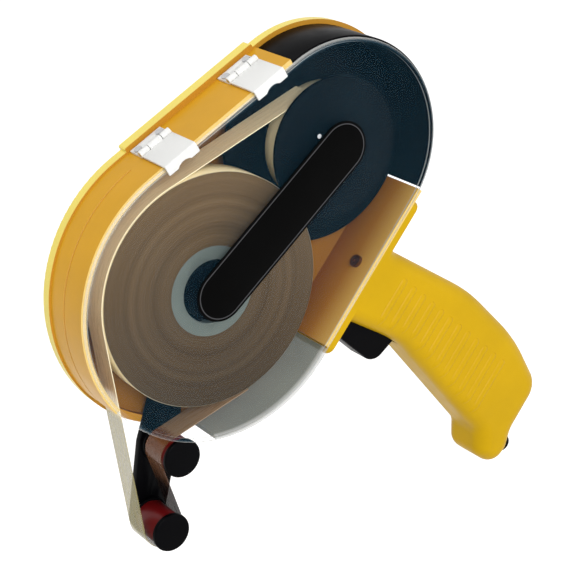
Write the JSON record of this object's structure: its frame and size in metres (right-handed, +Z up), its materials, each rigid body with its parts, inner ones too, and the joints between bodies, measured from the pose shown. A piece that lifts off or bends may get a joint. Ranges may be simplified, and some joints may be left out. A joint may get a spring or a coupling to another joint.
{
  "type": "adhesive transfer tape dispenser",
  "caption": "Hand-held adhesive transfer tape dispenser: tray with two lobes, hinged clear cover, supply and take-up reels, nose rollers and pistol grip with trigger.",
  "frame": {"origin": "on the supply reel's axis, on the flat back face of the tray", "axes": "+X to the right and +Z up as seen from the front of the clear cover, -Y out of the cover towards the viewer"},
  "size_m": [0.244, 0.0351, 0.2241],
  "materials": {
    "yellow_plastic": "moulded yellow plastic, satin gloss",
    "handle_plastic": "moulded bright yellow plastic",
    "black_plastic": "moulded black plastic",
    "clear_plastic": "clear moulded plastic",
    "label_black": "bare black plate",
    "white_plastic": "moulded white plastic",
    "steel": "plain steel",
    "tape_film": "adhesive on its liner",
    "tape_wound": "wound edge of adhesive tape and liner",
    "liner_paper": "tan release liner",
    "core_card": "grey core ring",
    "felt": "pressed felt",
    "red_plastic": "dark red roller sleeve",
    "pad_rubber": "brake rubber"
  },
  "bodies": {
    "tray": {"housing_shell": "yellow_plastic", "reel_guard": "black_plastic", "nose_arm": "black_plastic", "heel_plug": "black_plastic", "brake_keeper": "black_plastic", "handle_rear": "handle_plastic", "handle_front": "handle_plastic", "hinge_base_lower": "white_plastic", "hinge_base_upper": "white_plastic", "hinge_pin_lower": "steel", "hinge_pin_upper": "steel", "hinge_rivets": "steel", "guard_screws": "steel", "handle_screws": "steel", "mount_screw": "steel", "keeper_screws": "steel", "arm_screws": "steel", "trigger_pin": "steel", "trigger_spring": "steel", "supply_spindle": "steel", "supply_retainer": "steel", "idler_spindle": "steel", "idler_clip": "steel", "takeup_spindle": "steel", "takeup_retainer": "steel", "guide_axle": "steel", "applicator_axle": "steel", "tape_web": "tape_film", "liner_web": "liner_paper"},
    "cover": {"clear_cover": "clear_plastic", "label_plate": "label_black", "hinge_strap_lower": "white_plastic", "hinge_strap_upper": "white_plastic"},
    "supply_reel": {"supply_gear": "black_plastic", "supply_hub": "black_plastic", "hub_screws": "steel", "tape_core": "core_card", "tape_roll": "tape_wound"},
    "idler": {"idler_gear": "white_plastic"},
    "takeup_reel": {"takeup_gear": "black_plastic", "takeup_spool": "black_plastic", "takeup_flange": "black_plastic", "clutch_felt": "felt", "liner_winding": "liner_paper", "clutch_spring": "steel"},
    "guide_roller": {"guide_hub": "black_plastic", "guide_cap": "black_plastic", "guide_sleeve": "red_plastic"},
    "applicator_roller": {"applicator_hub": "black_plastic", "applicator_cap": "black_plastic", "applicator_sleeve": "red_plastic"},
    "trigger": {"trigger": "black_plastic"},
    "brake": {"brake_slide": "black_plastic", "brake_pad": "pad_rubber"}
  },
  "joints": [
    {"name": "cover_hinge", "type": "hinge", "parent": "tray", "child": "cover", "pos_m": [0.0006, -0.0155, 0.07675], "axis": [-0.8652, 0, -0.5014], "range_deg": [0, 110]},
    {"name": "supply_spin", "type": "hinge", "parent": "tray", "child": "supply_reel", "pos_m": [0, -0.012, 0], "axis": [0, 1, 0], "continuous": true},
    {"name": "idler_spin", "type": "hinge", "parent": "tray", "child": "idler", "pos_m": [0.03704, -0.0056, 0.03208], "axis": [0, 1, 0], "continuous": true},
    {"name": "takeup_spin", "type": "hinge", "parent": "tray", "child": "takeup_reel", "pos_m": [0.06047, -0.012, 0.05238], "axis": [0, 1, 0], "continuous": true},
    {"name": "guide_spin", "type": "hinge", "parent": "tray", "child": "guide_roller", "pos_m": [-0.0184, -0.019, -0.07], "axis": [0, 1, 0], "continuous": true},
    {"name": "applicator_spin", "type": "hinge", "parent": "tray", "child": "applicator_roller", "pos_m": [-0.0245, -0.019, -0.1033], "axis": [0, 1, 0], "continuous": true},
    {"name": "trigger_pull", "type": "hinge", "parent": "tray", "child": "trigger", "pos_m": [0.07762, -0.017, -0.02434], "axis": [0, -1, 0], "range_deg": [0, 12], "stiffness_Nm_per_rad": 0.15, "springref_deg": -5.73},
    {"name": "brake_release", "type": "slide", "parent": "tray", "child": "brake", "axis": [0.7849, 0, -0.6197], "range_m": [0, 0.00262]}
  ],
  "couplings": [
    {"joint": "idler_spin", "follows": "supply_spin", "ratio": -1.5789},
    {"joint": "takeup_spin", "follows": "supply_spin", "ratio": 2.5},
    {"joint": "guide_spin", "follows": "supply_spin", "ratio": -6.2485},
    {"joint": "applicator_spin", "follows": "supply_spin", "ratio": 6.2485},
    {"joint": "trigger_pull", "follows": "brake_release", "rad_per_m": 80}
  ]
}
